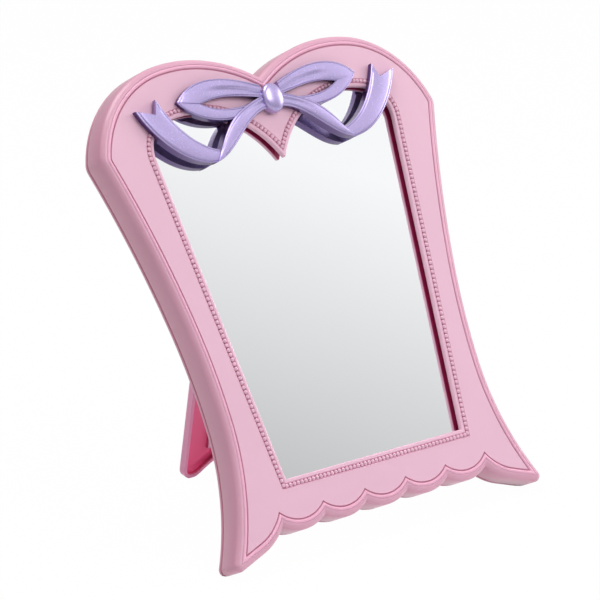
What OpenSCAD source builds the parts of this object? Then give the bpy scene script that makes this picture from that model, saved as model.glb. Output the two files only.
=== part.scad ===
// Tabletop vanity mirror: a heart-topped frame with a bow, leaning on a fold-out leg.
// x runs across the object, y towards its back, z up. It stands on z = 0.
// The frame is drawn upright, with its face on y = 0 and its feet on z = 0, then leaned back.

/* [Standing] */
// Lean of the frame from upright, degrees
lean = 26.5; // [18:0.5:34]
// Tilt of the opened leg from upright, degrees
leg_tilt = 10.5; // [7:0.5:15]
// Depth of the flats ground on the feet
foot_flat = 0.6; // [0.3:0.1:1]

/* [Frame shell] */
// Depth of the frame from its face to its back
frame_t = 15.5; // [14:0.5:20]
// Wall of the front shell
wall = 2.4; // [1.8:0.1:3]
// Thickness of the back cover
cover_t = 3; // [2.6:0.1:4]
// Radius of the front edge
front_round = 2.5; // [1:0.1:3.5]
// Radius of the back edge
back_round = 2; // [0.5:0.1:2.4]
// Distance from the outer wall to the outer groove
groove_inset = 2.7; // [2.4:0.1:3.6]
// Width of the half-round ridge between the two grooves
ridge_w = 1.2; // [0.8:0.1:1.6]
// Width of each groove
groove_w = 0.6; // [0.4:0.1:0.9]
// Depth of each groove
groove_d = 0.5; // [0.2:0.1:0.9]

/* [Outline] */
// Distance between the cusps of the scalloped hem
hem_pitch = 25.5; // [23:0.5:27]
// Radius of each scallop
hem_r = 23.7; // [20:0.1:30]
// Height of the scallops' centres above the feet
hem_v = 32.1; // [30:0.1:35]
// Distance from the middle to the centre of the sweep between hem and foot
foot_hw = 87.5; // [86:0.5:89]
// Height of that centre above the foot line
sweep_v = 34.2; // [33:0.1:36]
// Radius of the sweep
sweep_r = 32.7; // [30:0.1:34]
// Slope at which the sweep runs straight on to the foot's tip, degrees
sweep_a = 18.3; // [14:0.1:22]
// Radius of the foot's tip
foot_round = 3; // [2:0.5:5]
// Half the width of the waist
waist_hw = 79.8; // [77:0.1:84]
// Height of the waist above the feet
waist_v = 63.5; // [58:0.5:70]
// Radius of the side below the waist
side_low_r = 128; // [110:1:150]
// Radius of the side above the waist
side_mid_r = 304; // [270:1:340]
// Angle over which the side keeps that radius, degrees
side_mid_a = 8.5; // [6:0.5:11]
// Radius of the side below the shoulder
side_top_r = 530; // [450:1:620]
// Radius of the shoulder corner
shoulder_round = 8; // [4:0.5:12]
// Distance of each lobe's top from the middle
lobe_u = 45.6; // [42:0.1:49]
// Width of the frame above the window's lobes
top_band = 26; // [24:0.1:30]
// Radius of each lobe's top
lobe_r = 81.9; // [78:0.1:88]
// Radius of each lobe's outer end
lobe_end_r = 53.9; // [50:0.1:58]
// Direction in which the lobe's end joins its top, degrees from across
lobe_join_a = 80.5; // [76:0.5:84]

/* [Window] */
// Half the width of the window's bottom edge
win_hw = 54.8; // [50:0.1:58]
// Height of the window's bottom edge above the feet
win_v = 32.5; // [30:0.5:36]
// Distance of the window's lobes from the middle
win_lobe_u = 47; // [44:0.25:49]
// Height of the window's lobes above the feet
win_h = 205.3; // [200:0.1:207]
// Radius of the window's lobes
win_lobe_r = 52.8; // [50:0.1:56]
// Radius of the window's upper corners
win_corner_r = 15.4; // [12:0.1:18]
// Direction in which a lobe meets its corner, degrees from across
win_join_a = 74; // [68:0.5:80]
// Radius of the tip between the lobes
win_tip_r = 0.9; // [0.4:0.1:2]
// Chamfer of the window's edge
lip_chamfer = 0.8; // [0.3:0.1:1.4]
// Distance from the window's edge to the middle of the beading
bead_inset = 3.4; // [3:0.1:4.5]
// Width of the beading
bead_w = 2.2; // [1.6:0.1:2.8]
// Height of the beading above the face
bead_h = 0.6; // [0.3:0.1:1]

/* [Mirror] */
// Gap between the shell's wall and the glass
glass_gap = 1.5; // [1:0.1:2]
// Thickness of the glass
glass_t = 2; // [1.8:0.1:3]
// Overlap of the glass behind the window's edge
glass_lap = 6; // [5:0.1:7]
// Clearance round the glass
glass_fit = 0.4; // [0.2:0.1:0.6]
// Thickness of the backing board
board_t = 1.6; // [1:0.1:2]
// Width of the ribs that hold the glass
rib_w = 1.2; // [0.8:0.1:1.6]
// Set-back of the seat rib from the window's edge
seat_inset = 3; // [2.6:0.1:3.4]

/* [Bow] */
// Overall width of the bow
bow_w = 158; // [150:1:164]
// Height of the bow's middle above the window's lobes
bow_rise = 0.2; // [-2:0.1:2]
// Thickness of the ribbon at its edges
ribbon_t = 2.6; // [2.2:0.1:3.2]
// Crown of the ribbon across its width
ribbon_crown = 0.5; // [0.2:0.1:1]
// Extra height of the strands that cross in front
strand_lift = 0.7; // [0.3:0.1:1]
// Half the width of the knot
knot_hw = 6; // [5.5:0.1:6.4]
// Half the height of the knot
knot_hh = 7.1; // [6.8:0.1:8]
// Height of the knot above the face
knot_h = 6.3; // [5.5:0.1:7]
// Radius of the pegs behind the ribbon
peg_r = 1.25; // [1:0.05:1.5]
// Radius of the peg behind the knot
knot_peg_r = 2; // [1.5:0.1:2.2]
// Clearance of a peg in its hole
peg_fit = 0.1; // [0.05:0.05:0.2]
// Thickness of the push nuts
nut_t = 0.5; // [0.3:0.1:0.6]
// Width of a push nut's rim
nut_rim = 1.25; // [1:0.05:1.4]

/* [Screws] */
// Radius of a cover screw
screw_r = 1.5; // [1.25:0.05:1.75]
// Radius of a screw's head
screw_head_r = 2.8; // [2.5:0.1:3]
// Height of a screw's head
screw_head_h = 1.9; // [1.5:0.1:2.1]
// Length of a screw below its head
screw_l = 8; // [7:0.5:8.5]
// Radius of the bosses that take the screws
boss_r = 3.7; // [3.2:0.1:3.9]
// Depth of the cover's screw towers below its inner face
tower_h = 2; // [1.5:0.1:2.5]
// Clearance of a screw in the cover
screw_fit = 0.1; // [0.05:0.05:0.3]

/* [Leg] */
// Distance from the frame's top down to the hinge, along the frame
hinge_drop = 53.3; // [48:0.1:60]
// Width of the leg
leg_w = 54; // [46:0.5:60]
// Thickness of the leg's knuckle round the pin
leg_t = 7; // [6.6:0.1:8]
// Thickness of the leg below its knuckle
leg_body_t = 3.6; // [3:0.1:5]
// Wall of the leg
leg_wall = 1.8; // [1.6:0.1:2.4]
// Radius of the corners of the leg's feet
leg_foot_r = 5; // [3:0.5:7]
// Gap between the folded leg and the cover
leg_gap = 0.6; // [0.5:0.1:1]
// Gap at the leg's stop when it is open
stop_gap = 0.2; // [0.1:0.05:0.3]
// Height of the arch between the leg's two feet
arch_h = 8.3; // [5:0.1:11]
// Distance of each foot of the leg from the middle
leg_foot_u = 21; // [19:0.1:21.8]
// Distance of the leg's ribs from the middle
leg_rib_u = 12; // [8:0.5:15]
// Radius of the hinge pin
pin_r = 1.5; // [1.25:0.05:1.75]
// Running clearance of the leg on the pin
pin_fit = 0.05; // [0.02:0.01:0.1]
// Thickness of the cover's hinge ears
ear_t = 5; // [4:0.5:7]
// Radius of the hinge ears
ear_r = 3.6; // [3.2:0.1:3.9]
// Thickness of the washers beside the leg
washer_t = 0.6; // [0.4:0.1:1]
// Clearance on each side of a washer
washer_fit = 0.1; // [0.05:0.05:0.2]
// Width of a washer's rim
washer_rim = 1.8; // [1.4:0.1:2.1]

/* [Hidden] */
$fn = 48;
SCALLOPS = 5;
EPS = 0.01;
FRAME_PINK = [0.93, 0.62, 0.75];
LEG_PINK = [0.86, 0.45, 0.6];
LILAC = [0.74, 0.68, 0.9];
STEEL = [0.7, 0.7, 0.72];

// Points where two circles cross; side picks the one to the left (1) or right (-1) of c1 to c2.
function meet(c1, r1, c2, r2, side) =
    let (d = norm(c2 - c1), a = (r1 * r1 - r2 * r2 + d * d) / (2 * d),
        h = sqrt(max(0, r1 * r1 - a * a)), e = (c2 - c1) / d)
    c1 + a * e + side * h * [-e.y, e.x];
function unit(v) = v / norm(v);
function polar(c, r, a) = c + r * [cos(a), sin(a)];
// First point from p along e that is r away from c.
function slide(p, e, c, r) = let (d = p - c, b = d * e) p + (-b - sqrt(b * b - d * d + r * r)) * e;
// Arc round c from point p towards q, at radius r, without its last point.
function arc(c, r, p, q, n) =
    let (a0 = atan2(p.y - c.y, p.x - c.x), a1 = atan2(q.y - c.y, q.x - c.x),
        turn = a1 - a0, sweep = turn > 180 ? turn - 360 : turn < -180 ? turn + 360 : turn)
    [for (k = [0:n - 1]) polar(c, r, a0 + sweep * k / n)];
// Right half and its mirror image, as one closed outline.
function both(half) = let (n = len(half))
    concat(half, [for (k = [0:n - 1]) let (p = half[n - 1 - k]) if (p.x > EPS) [-p.x, p.y]]);
// Cubic curve through four control points.
function bezier(p, t) = pow(1 - t, 3) * p[0] + 3 * pow(1 - t, 2) * t * p[1]
    + 3 * (1 - t) * t * t * p[2] + t * t * t * p[3];

panel_h = win_h + top_band;
bow_v = win_h + bow_rise;
hinge_v = panel_h - hinge_drop;
WIN_TALL = win_h - win_v;
// Height at which the window is about to turn into its corners.
HIGH_V = win_v + 0.68 * WIN_TALL;

// Centres of the arcs that make the frame's outline.
HEM_N = (SCALLOPS - 1) / 2;
SWEEP_C = [foot_hw, sweep_v];
SWEEP_N = [sin(sweep_a), cos(sweep_a)];
SWEEP_E = [cos(sweep_a), -sin(sweep_a)];
LOW_C = [waist_hw + side_low_r, waist_v];
MID_C = [waist_hw + side_mid_r, waist_v];
TOP_C = polar(MID_C, side_mid_r - side_top_r, 180 - side_mid_a);
LOBE_C = [lobe_u, panel_h - lobe_r];
END_C = polar(LOBE_C, lobe_r - lobe_end_r, lobe_join_a);

// Centre of the foot's tip, for a tip of radius r.
function tip_centre(r) = slide(SWEEP_C - (sweep_r - r) * SWEEP_N, SWEEP_E, LOW_C, side_low_r + r);
// The frame's outline, moved inwards by i. All its arcs keep their centres.
function outline(i) =
    let (
        hem = hem_r - i,
        cusp_v = hem_v - sqrt(hem * hem - hem_pitch * hem_pitch / 4),
        last_c = [HEM_N * hem_pitch, hem_v],
        last = meet(last_c, hem, SWEEP_C, sweep_r - i, -1),
        tip_r = max(foot_round, i + 0.3),
        tip_c = tip_centre(tip_r),
        run = SWEEP_C - (sweep_r - i) * SWEEP_N,
        tip_a = tip_c - (tip_r - i) * SWEEP_N,
        tip_b = tip_c + (tip_r - i) * unit(LOW_C - tip_c),
        waist = [waist_hw - i, waist_v],
        mid = polar(MID_C, side_mid_r + i, 180 - side_mid_a),
        cor_r = max(shoulder_round, i + 0.3),
        cor_c = meet(END_C, lobe_end_r - cor_r, TOP_C, side_top_r + cor_r, 1),
        cor_a = TOP_C + (side_top_r + i) * unit(cor_c - TOP_C),
        cor_b = END_C + (lobe_end_r - i) * unit(cor_c - END_C),
        join = polar(LOBE_C, lobe_r - i, lobe_join_a),
        notch = [0, LOBE_C.y + sqrt(pow(lobe_r - i, 2) - lobe_u * lobe_u)])
    both(concat(
        arc([0, hem_v], hem, [0, hem_v - hem], [hem_pitch / 2, cusp_v], 3),
        [for (k = [1:HEM_N]) let (c = [k * hem_pitch, hem_v], from = [c.x - hem_pitch / 2, cusp_v],
            to = k < HEM_N ? [c.x + hem_pitch / 2, cusp_v] : last)
            each arc(c, hem, from, to, 5)],
        arc(SWEEP_C, sweep_r - i, last, run, 4),
        [run],
        arc(tip_c, tip_r - i, tip_a, tip_b, 5),
        arc(LOW_C, side_low_r + i, tip_b, waist, 6),
        arc(MID_C, side_mid_r + i, waist, mid, 3),
        arc(TOP_C, side_top_r + i, mid, cor_a, 4),
        arc(cor_c, cor_r - i, cor_a, cor_b, 4),
        arc(END_C, lobe_end_r - i, cor_b, join, 6),
        arc(LOBE_C, lobe_r - i, join, notch, 8),
        [notch]));

// Centres of the window's arcs, and the direction across its slanting sides.
WIN_LOBE_C = [win_lobe_u, win_h - win_lobe_r];
WIN_COR_C = polar(WIN_LOBE_C, win_lobe_r - win_corner_r, win_join_a);
WIN_FOOT = [win_hw, win_v] - WIN_COR_C;
WIN_SIDE_A = atan2(WIN_FOOT.y, WIN_FOOT.x) + acos(win_corner_r / norm(WIN_FOOT));
WIN_N = [cos(WIN_SIDE_A), sin(WIN_SIDE_A)];
// Where the window's side, moved outwards by o, is at height v.
function side_u(o, v) = (WIN_N * WIN_COR_C + win_corner_r + o - WIN_N.y * v) / WIN_N.x;
// The window's outline, moved outwards by o.
function window(o) =
    let (r = win_lobe_r + o, c = WIN_COR_C, v0 = win_v - o, f = max(win_tip_r - o, 0.05),
        tip_c = [0, WIN_LOBE_C.y + sqrt(pow(r + f, 2) - win_lobe_u * win_lobe_u)],
        tip = WIN_LOBE_C + r * unit(tip_c - WIN_LOBE_C))
    both(concat(
        [[side_u(o, v0), v0]],
        arc(c, win_corner_r + o, c + WIN_N, polar(c, 1, win_join_a), 5),
        arc(WIN_LOBE_C, r, polar(WIN_LOBE_C, r, win_join_a), tip, 9),
        arc(tip_c, f, tip, tip_c - [0, f], 3),
        [tip_c - [0, f]]));
// The glass: straight edges, overlapping the window, moved outwards by o.
function pane(o) =
    let (lo = win_v - glass_lap - o, hi = win_h + glass_lap - 1 + o, s = glass_lap + o)
    [[side_u(s, lo), lo], [side_u(s, hi), hi], [-side_u(s, hi), hi], [-side_u(s, lo), lo]];

// Puts a part drawn against the upright frame where the standing object has it.
HINGE_D = frame_t + leg_gap + leg_t / 2;
FOOT_V = tip_centre(foot_round).y - foot_round;
FOOT_LOW = (FOOT_V + back_round) * cos(lean) - (frame_t - back_round) * sin(lean) - back_round;
GROUND = FOOT_LOW + foot_flat;
HINGE_Y = HINGE_D * cos(lean) + hinge_v * sin(lean);
HINGE_Z = hinge_v * cos(lean) - HINGE_D * sin(lean);
LEG_L = (HINGE_Z - GROUND) / cos(leg_tilt);
OPEN = lean + leg_tilt;
LEG_BACK = leg_t / 2 - 1;
FRONT_Y = FOOT_V * sin(lean) + front_round * (cos(lean) + sin(lean) - 1);
REAR_Y = HINGE_Y + LEG_L * sin(leg_tilt) + LEG_BACK * cos(leg_tilt);
MID_Y = (FRONT_Y + REAR_Y) / 2;
module stand() {
    difference() {
        translate([0, -MID_Y, -GROUND]) rotate([-lean, 0, 0]) children();
        translate([-300, -300, -40]) cube([600, 600, 40]);
    }
}
// Puts a part drawn hanging from the hinge axis where the opened leg is.
module swing() {
    difference() {
        translate([0, HINGE_Y - MID_Y, HINGE_Z - GROUND]) rotate([leg_tilt, 0, 0]) children();
        translate([-300, -300, -40]) cube([600, 600, 40]);
    }
}
// A plate with the given outline, from depth d0 to depth d1.
module slab(d0, d1, points) {
    translate([0, d1, 0]) rotate([90, 0, 0]) linear_extrude(d1 - d0) polygon(points);
}
// The same with a hole.
module ring(d0, d1, outer, inner) {
    translate([0, d1, 0]) rotate([90, 0, 0]) linear_extrude(d1 - d0)
        difference() { polygon(outer); polygon(inner); }
}
// A rod along the depth, at (u, v).
module rod(u, v, d0, d1, r) {
    translate([u, d1, v]) rotate([90, 0, 0]) cylinder(r = r, h = d1 - d0);
}
// A solid through outlines with as many points each: rings holds [depth, outline] from the front.
module loft(rings) {
    n = len(rings[0][1]);
    m = len(rings);
    points = [for (r = rings) for (p = r[1]) [p.x, r[0], p.y]];
    sides = [for (j = [0:m - 2]) for (k = [0:n - 1]) let (k1 = (k + 1) % n)
        each [[j * n + k, j * n + k1, (j + 1) * n + k], [j * n + k1, (j + 1) * n + k1, (j + 1) * n + k]]];
    front = [[for (k = [0:n - 1]) n - 1 - k]];
    back = [[for (k = [0:n - 1]) (m - 1) * n + k]];
    polyhedron(points, concat(front, sides, back));
}
// What takes the edge between the outer wall and the plane at depth d off, in two flats that follow
// a round of radius r. Each flat runs 1 mm past the solid. dir points inwards.
module edge_cutter(d, dir, r) {
    mid = r * (1 - cos(45));
    far = r + (r - mid) / mid;
    profile = [[-1, -1], [-1, far], [mid, mid], [far, -1]];
    m = len(profile);
    rings = [for (p = profile) outline(p.y)];
    n = len(rings[0]);
    points = [for (j = [0:m - 1]) for (q = rings[j]) [q.x, d + dir * profile[j].x, q.y]];
    faces = [for (j = [0:m - 1]) for (k = [0:n - 1])
        let (a = j * n + k, b = j * n + (k + 1) % n, c = (j + 1) % m * n + k, e = (j + 1) % m * n + (k + 1) % n)
        each dir < 0 ? [[a, b, c], [b, e, c]] : [[a, c, b], [b, c, e]]];
    polyhedron(points, faces);
}

SPLIT = frame_t - cover_t;
GLASS_D = wall + glass_gap;
BOARD_D = GLASS_D + glass_t;
RIB_D = BOARD_D + board_t;
TOWER_D = SPLIT - tower_h;
HEAD_D = frame_t - screw_head_h - 0.7;
// Where the cover's screws go: near the feet, the hem, the waist, the shoulders and the lobes.
SCREW_SPOTS = [for (s = [-1, 1]) each [
    [s * (foot_hw - 13.5), 20],
    [s * hem_pitch, (hem_v - hem_r + wall + win_v - glass_lap - glass_fit - rib_w) / 2],
    [s * (waist_hw - wall - 1.3 - boss_r), waist_v + 11.5],
    [s * (side_u(glass_lap, HIGH_V) + glass_fit + rib_w + 1 + boss_r), HIGH_V],
    [s * lobe_u, (panel_h - wall + win_h + glass_lap) / 2]]];
// Where the ribbon's pegs go, from the bow's middle.
PEG_SPOTS = [for (s = [-1, 1]) each [[s * 30, 8.5], [s * 72, 0]]];

module front_frame() color(FRAME_PINK) stand() {
    inner_groove = groove_inset + groove_w + ridge_w;
    difference() {
        union() {
            difference() {
                slab(0, SPLIT, outline(0));
                slab(wall, SPLIT + 1, outline(wall));
                edge_cutter(0, 1, front_round);
            }
            ring(wall - EPS, GLASS_D, window(seat_inset + rib_w), window(seat_inset));
            glass_fence();
            for (p = SCREW_SPOTS) rod(p.x, p.y, wall - EPS, TOWER_D, boss_r);
            ring(-bead_h, wall / 2, window(bead_inset + bead_w / 2), window(bead_inset - bead_w / 2));
        }
        slab(-1, wall + 1, window(0));
        loft([[-1, window(lip_chamfer + 1)], [lip_chamfer + 1, window(-1)]]);
        ring(-1, groove_d, outline(groove_inset), outline(groove_inset + groove_w));
        ring(-1, groove_d, outline(inner_groove), outline(inner_groove + groove_w));
        for (p = SCREW_SPOTS) rod(p.x, p.y, HEAD_D - screw_l - 0.6, TOWER_D + 1, screw_r);
        for (p = PEG_SPOTS) rod(p.x, bow_v + p.y, -1, wall + 1, peg_r + peg_fit);
        rod(0, bow_v, -1, wall + 1, knot_peg_r + peg_fit);
    }
}
// Short ribs that keep the glass and its board from sliding about.
module glass_fence() {
    intersection() {
        ring(wall - EPS, RIB_D - 0.3, pane(glass_fit + rib_w), pane(glass_fit));
        union() {
            translate([-300, 0, win_v + 0.1 * WIN_TALL]) cube([600, 30, 0.7 * WIN_TALL]);
            for (s = [-1, 1]) translate([s * win_hw * 0.55 - 11, 0, 0]) cube([22, 30, win_v + 20]);
            for (s = [-1, 1]) translate([s * win_lobe_u * 1.19 - 10, 0, HIGH_V]) cube([20, 30, WIN_TALL]);
        }
    }
}

module back_cover() color(FRAME_PINK) stand() {
    tongue = wall + 0.2;
    difference() {
        union() {
            slab(SPLIT, frame_t, outline(0));
            ring(SPLIT - 2.5, SPLIT + EPS, outline(tongue), outline(tongue + rib_w));
            ring(RIB_D, SPLIT + EPS, pane(-rib_w), pane(-2 * rib_w));
            for (s = [-1, 1]) translate([s * win_hw * 0.365 - rib_w / 2, RIB_D, win_v + 0.16 * WIN_TALL])
                cube([rib_w, SPLIT - RIB_D + EPS, 0.64 * WIN_TALL]);
            for (p = SCREW_SPOTS) rod(p.x, p.y, TOWER_D, SPLIT + EPS, boss_r + 0.8);
            for (s = [-1, 1]) hinge_ear(s);
        }
        edge_cutter(frame_t, -1, back_round);
        for (p = SCREW_SPOTS) {
            rod(p.x, p.y, HEAD_D, frame_t + 1, screw_head_r + 0.3);
            rod(p.x, p.y, TOWER_D - 1, frame_t + 1, screw_r + screw_fit);
        }
        translate([-100, HINGE_D, hinge_v]) rotate([0, 90, 0]) cylinder(r = pin_r, h = 200);
    }
}
EAR_U = leg_w / 2 + washer_t + 2 * washer_fit;
module hinge_ear(s) {
    lo = s > 0 ? EAR_U : -EAR_U - ear_t;
    translate([lo, HINGE_D, hinge_v]) rotate([0, 90, 0]) cylinder(r = ear_r, h = ear_t);
    translate([lo, frame_t - EPS, hinge_v - ear_r]) cube([ear_t, HINGE_D - frame_t + EPS, 2 * ear_r]);
}

module mirror_pane() color([0.85, 0.9, 0.92]) stand() slab(GLASS_D, BOARD_D, pane(0));
module mirror_board() color([0.6, 0.58, 0.55]) stand() slab(BOARD_D, RIB_D, pane(-0.5));

// Edges of the bow's bands from the knot outwards, as control points from the bow's middle.
LOOP_TOP = [[5.5, 7.3], [34, 18.5], [47.5, 13], [54.5, 5.5]];
LOOP_TOP_IN = [[5.5, 1], [22, 4.4], [30, 5.8], [41, 3]];
LOOP_LOW = [[5.5, -3.5], [22, -9.5], [44.5, -7.5], [54.5, 5.5]];
LOOP_LOW_IN = [[5.5, 0.5], [22, -2.5], [33, -2], [41, 3]];
STRAND_IN = [[5.5, 2], [27, -3.5], [31, -10], [41.5, -24.5]];
STRAND_OUT = [[5, -4.5], [19, -6], [30, -24], [43, -25.2]];
TAIL_IN = [[34, -19.2], [50, -17], [60, -6], [66, 8.5]];
TAIL_OUT = [[39, -26], [59, -25], [73, -9], [79, 4.5]];
NOTCH = [[60, 14], [68.5, 1.4], [88, 7.1], [88, 20]];
BAND_STEPS = 10;
BAND_ACROSS = [0, 0.15, 0.5, 0.85, 1];
// One band of ribbon between two edge curves, crowned across its width.
// Its height grows from h0 at its start to h1 at its end.
module band(a, b, h0, h1, crown) {
    n = len(BAND_ACROSS) + 2;
    m = BAND_STEPS + 1;
    points = [for (j = [0:BAND_STEPS]) let (t = j / BAND_STEPS, p = bezier(a, t), q = bezier(b, t),
        h = h0 + (h1 - h0) * min(1, 3 * t), rise = crown * min(1, 3 * t))
        each concat([[p.x, 0, p.y]],
            [for (s = BAND_ACROSS) let (w = p + (q - p) * s) [w.x, -h - rise * (1 - pow(2 * s - 1, 2)), w.y]],
            [[q.x, 0, q.y]])];
    sides = [for (j = [0:m - 2]) for (k = [0:n - 1]) let (k1 = (k + 1) % n)
        each [[j * n + k, (j + 1) * n + k, j * n + k1], [j * n + k1, (j + 1) * n + k, (j + 1) * n + k1]]];
    front = [[for (k = [0:n - 1]) k]];
    back = [[for (k = [0:n - 1]) m * n - 1 - k]];
    polyhedron(points, concat(front, sides, back));
}
module half_bow() {
    low = ribbon_t - 0.2;
    band(LOOP_TOP, LOOP_TOP_IN, low, ribbon_t, ribbon_crown);
    band(LOOP_LOW_IN, LOOP_LOW, low, ribbon_t - 0.5, ribbon_crown / 2);
    band(STRAND_IN, STRAND_OUT, low, ribbon_t + strand_lift, ribbon_crown);
    difference() {
        band(TAIL_IN, TAIL_OUT, ribbon_t, ribbon_t, ribbon_crown);
        slab(-20, 5, NOTCH);
    }
}
module knot_oval(d0, d1, extra) {
    hull() for (s = [-1, 1]) rod(0, s * (knot_hh - knot_hw), d0, d1, knot_hw - 0.4 + extra, $fn = 32);
}
module bow_ribbon() color(LILAC) stand() difference() {
    translate([0, 0, bow_v]) {
        translate([0, -bead_h, 0]) resize([bow_w, 0, 0], auto = [false, false, true]) {
            difference() {
                union() {
                    half_bow();
                    mirror([1, 0, 0]) half_bow();
                }
                knot_oval(-20, 20, 0);
            }
            knot_oval(-ribbon_t + 0.2, 0, 0.01);
        }
        for (p = PEG_SPOTS) rod(p.x, p.y, -bead_h - 1, wall + nut_t + 0.5, peg_r);
    }
    rod(0, bow_v, -20, 1, knot_peg_r + peg_fit);
}
module bow_knot() color(LILAC) stand() translate([0, 0, bow_v]) {
    base = bead_h + ribbon_t - 0.2;
    intersection() {
        translate([0, -base, 0]) resize([2 * knot_hw, 2 * (knot_h - base), 2 * knot_hh])
            rotate([90, 0, 0]) sphere(r = knot_hw, $fn = 32);
        translate([-20, -20 - base, -20]) cube([40, 20, 40]);
    }
    rod(0, 0, -base - EPS, wall + nut_t + 0.5, knot_peg_r);
}
module push_nuts() color(STEEL) stand() translate([0, 0, bow_v]) {
    for (p = concat([for (q = PEG_SPOTS) [q.x, q.y, peg_r]], [[0, 0, knot_peg_r]])) difference() {
        rod(p.x, p.y, wall, wall + nut_t, p.z + nut_rim);
        rod(p.x, p.y, wall - 1, wall + nut_t + 1, p.z);
    }
}

// The leg's outline from the front, with its two feet, moved inwards by i.
function leg_outline(i) =
    let (hw = leg_w / 2 - i, low = -LEG_L + i, corner = max(leg_foot_r - i, 0.5))
    both(concat(
        [for (k = [0:7]) bezier([[0, low + arch_h],
            [0.55 * leg_foot_u, low + arch_h], [0.75 * leg_foot_u, low], [leg_foot_u, low]], k / 8)],
        arc([hw - corner, low + corner], corner, [hw - corner, low], [hw, low + corner], 5),
        [[hw, low + corner], [hw, 30]]));
module easel_leg() color(LEG_PINK) swing() {
    half = leg_t / 2;
    stop = HINGE_D - frame_t - stop_gap;
    difference() {
        union() {
            difference() {
                slab(LEG_BACK - leg_body_t, LEG_BACK, leg_outline(0));
                slab(-half - 1, LEG_BACK - leg_wall, leg_outline(leg_wall));
            }
            for (s = [-1, 1]) translate([s * leg_rib_u - leg_wall / 2, LEG_BACK - leg_body_t + 0.4, -LEG_L + 14])
                cube([leg_wall, leg_body_t - 0.4 - EPS, LEG_L - 14]);
            translate([-leg_w / 2, 0, 0]) rotate([0, 90, 0]) cylinder(r = half, h = leg_w);
            rotate([-OPEN, 0, 0]) translate([-leg_w / 2, -stop, 0]) cube([leg_w, leg_wall, 30]);
        }
        rotate([-OPEN, 0, 0]) translate([-100, -stop - 60, -60]) cube([200, 60, 120]);
        translate([-100, half, -half]) cube([200, 60, 60]);
        translate([-100, 0, 0]) rotate([0, 90, 0]) cylinder(r = pin_r + pin_fit, h = 200);
    }
}
PIN_L = 2 * (EAR_U + ear_t);
module hinge_pin() color(STEEL) swing()
    translate([-PIN_L / 2, 0, 0]) rotate([0, 90, 0]) cylinder(r = pin_r, h = PIN_L);
module hinge_washers() color(STEEL) swing() {
    for (s = [-1, 1]) translate([s * (leg_w / 2 + washer_fit + washer_t / 2) - washer_t / 2, 0, 0])
        rotate([0, 90, 0]) difference() {
            cylinder(r = pin_r + washer_rim, h = washer_t);
            translate([0, 0, -1]) cylinder(r = pin_r + pin_fit, h = washer_t + 2);
        }
}
module cover_screws() color(STEEL) stand() for (p = SCREW_SPOTS) difference() {
    union() {
        rod(p.x, p.y, HEAD_D, HEAD_D + screw_head_h, screw_head_r);
        rod(p.x, p.y, HEAD_D - screw_l, HEAD_D + EPS, screw_r);
    }
    for (a = [0, 90]) translate([p.x, HEAD_D + screw_head_h, p.y]) rotate([0, a, 0])
        cube([2.6, 1.6, 0.6], center = true);
}

front_frame();
back_cover();
mirror_pane();
mirror_board();
bow_ribbon();
bow_knot();
push_nuts();
easel_leg();
hinge_pin();
hinge_washers();
cover_screws();
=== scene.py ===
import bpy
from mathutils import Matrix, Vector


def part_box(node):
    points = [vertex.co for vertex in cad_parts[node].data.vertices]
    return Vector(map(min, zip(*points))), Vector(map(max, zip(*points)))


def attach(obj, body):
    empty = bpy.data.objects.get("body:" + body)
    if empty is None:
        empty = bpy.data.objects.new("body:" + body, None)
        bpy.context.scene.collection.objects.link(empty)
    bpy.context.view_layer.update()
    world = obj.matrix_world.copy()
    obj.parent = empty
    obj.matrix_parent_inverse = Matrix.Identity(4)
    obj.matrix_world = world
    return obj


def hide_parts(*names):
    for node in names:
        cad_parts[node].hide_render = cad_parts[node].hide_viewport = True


bl_info = {
    "name": "Heart-topped vanity mirror",
    "version": (1, 0, 0),
    "blender": (4, 5, 0),
    "location": "View3D > Sidebar > Mirror",
    "description": "Dresses a leaning vanity mirror: frame, beading, bow, glass and easel leg",
    "category": "Object",
}

import math

import bmesh
import bpy
import numpy as np
from bpy.props import FloatProperty, FloatVectorProperty, PointerProperty
from mathutils import Vector
from mathutils.geometry import tessellate_polygon

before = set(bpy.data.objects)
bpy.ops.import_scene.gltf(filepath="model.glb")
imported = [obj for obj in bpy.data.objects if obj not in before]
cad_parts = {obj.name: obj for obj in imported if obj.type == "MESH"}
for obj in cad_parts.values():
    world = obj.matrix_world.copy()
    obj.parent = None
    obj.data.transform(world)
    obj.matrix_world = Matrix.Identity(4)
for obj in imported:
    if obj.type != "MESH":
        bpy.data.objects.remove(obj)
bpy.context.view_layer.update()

# Lengths are in millimetres here, and turned to metres where a mesh is made.
MM = 0.001
FRAME_T = 15.5  # depth of the frame, from its face to its back
SPLIT_D = 12.5  # depth at which the front shell meets the cover
WALL = 2.4  # thickness of the shell
FRONT_ROUND = 2.5
BACK_ROUND = 2.0
GLASS_D = 3.9  # depth of the glass's face
GLASS_BACK_D = 5.9
GLASS_BELOW = 6.0  # how far the glass reaches below the window's sill
PANEL_H = 231.3  # height of the two lobes, along the frame
BOW_V = 205.5  # height of the bow's middle, along the frame
LEAN = math.radians(26.5)


# ---------------------------------------------------------------- outlines
def polar(centre, radius, degrees):
    """The point at a radius and an angle from a centre."""
    a = math.radians(degrees)
    return np.array([centre[0] + radius * math.cos(a), centre[1] + radius * math.sin(a)])


def meet(c1, r1, c2, r2, left=False):
    """Where two circles cross, right or left of the line between their centres: a step along that
    line of (r1^2 - r2^2 + d^2) / 2d, and one square to it that makes the distance r1."""
    c1 = np.asarray(c1, float)
    away = np.asarray(c2, float) - c1
    d = np.hypot(*away)
    e = away / d
    along = (r1 * r1 - r2 * r2 + d * d) / (2 * d)
    off = math.sqrt(max(0.0, r1 * r1 - along * along))
    return c1 + along * e + (off if left else -off) * np.array([-e[1], e[0]])


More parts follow.
